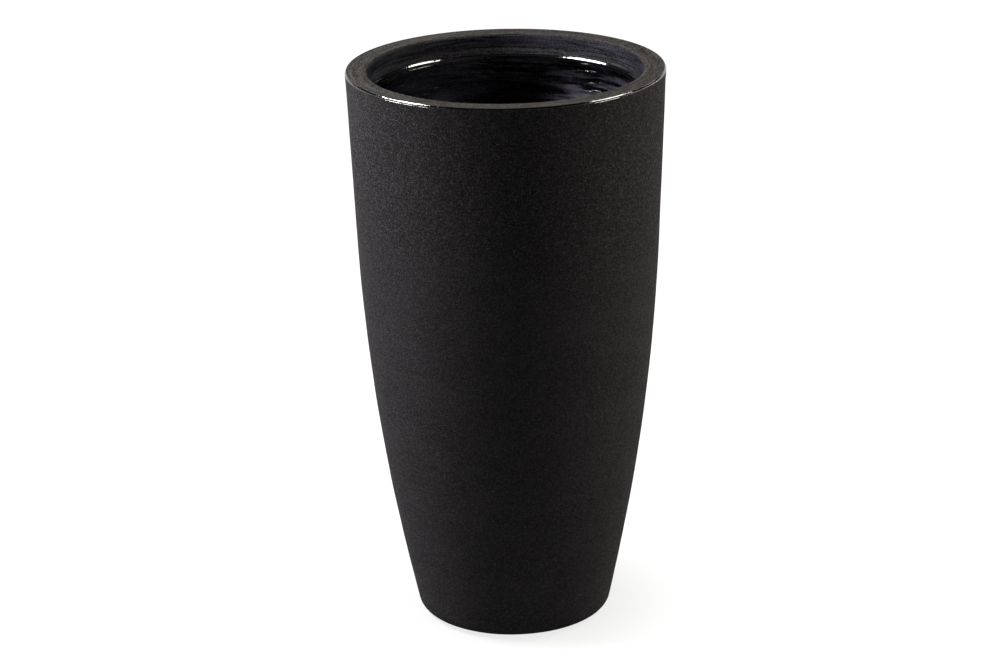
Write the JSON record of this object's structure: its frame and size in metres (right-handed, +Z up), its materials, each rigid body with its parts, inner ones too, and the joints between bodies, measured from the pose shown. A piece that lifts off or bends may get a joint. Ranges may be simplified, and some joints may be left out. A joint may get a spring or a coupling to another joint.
{
  "type": "tall planter",
  "caption": "Tall round fiberglass planter: a tapered, bellied, sand-textured shell, a thick flat rim with an inner ledge and lip, and a floor with a plugged drain hole.",
  "frame": {"origin": "centre of the base, on the floor that the rubber pads stand on", "axes": "+Z up along the planter's axis; +X and +Y lie in the floor, between the pads"},
  "size_m": [0.3298, 0.3298, 0.6],
  "materials": {
    "textured_coat": "fine sand texture, eggshell sheen",
    "sanded_rim": "sanded flat, with fine concentric scratches",
    "gloss_resin": "glossy black resin",
    "floor_laminate": "black resin over laid glass mat, satin",
    "black_rubber": "matt black rubber"
  },
  "bodies": {
    "planter": {"outer_shell": "textured_coat", "rim_ring": "sanded_rim", "rim_edge_bead": "gloss_resin", "rim_bond_bead": "gloss_resin", "base_disc": "floor_laminate", "base_bond_bead": "gloss_resin", "foot_pad_1": "black_rubber", "foot_pad_2": "black_rubber", "foot_pad_3": "black_rubber", "foot_pad_4": "black_rubber"},
    "plug": {"drain_plug": "black_rubber"}
  },
  "joints": [
    {"name": "plug_lift", "type": "slide", "parent": "planter", "child": "plug", "axis": [0, 0, 1], "range_m": [0, 0.62]}
  ]
}
